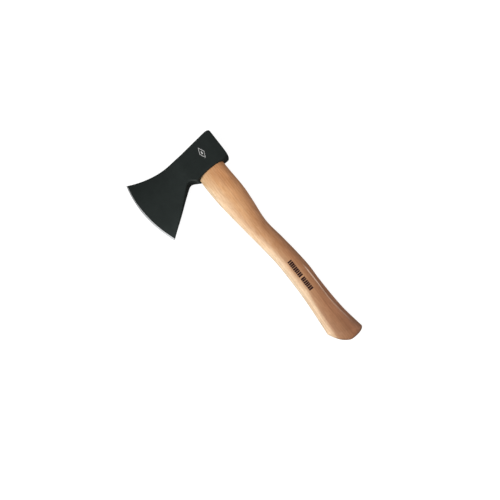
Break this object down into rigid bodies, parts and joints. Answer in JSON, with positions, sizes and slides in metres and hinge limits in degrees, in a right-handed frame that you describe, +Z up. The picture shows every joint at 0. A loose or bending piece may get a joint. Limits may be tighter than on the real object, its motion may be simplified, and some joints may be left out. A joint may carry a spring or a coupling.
{
  "type": "hatchet",
  "caption": "One-hand hatchet: flared forged blade with a flat poll, dark lacquer and a bright ground edge, wedged onto a curved varnished hickory handle with a slanted knob.",
  "frame": {"origin": "middle of the bounding box in X and Y, on the plane of the cheek that the hatchet lies on", "axes": "+Z up through the thickness of the head, +Y along the handle towards the top of the head, +X from the cutting edge to the poll"},
  "size_m": [0.1482, 0.3666, 0.0276],
  "materials": {
    "lacquered_steel": "satin black lacquer, bright ground metal along the cutting edge",
    "hickory": "clear varnish over lengthwise grain",
    "wedge_wood": "bare end grain",
    "wedge_steel": "plain mild steel",
    "white_print": "thin white printed mark",
    "dark_print": "thin dark stamped marks"
  },
  "bodies": {
    "root": {"axe_head": "lacquered_steel", "handle": "hickory", "wood_wedge": "wedge_wood", "steel_wedge": "wedge_steel"}
  },
  "joints": []
}
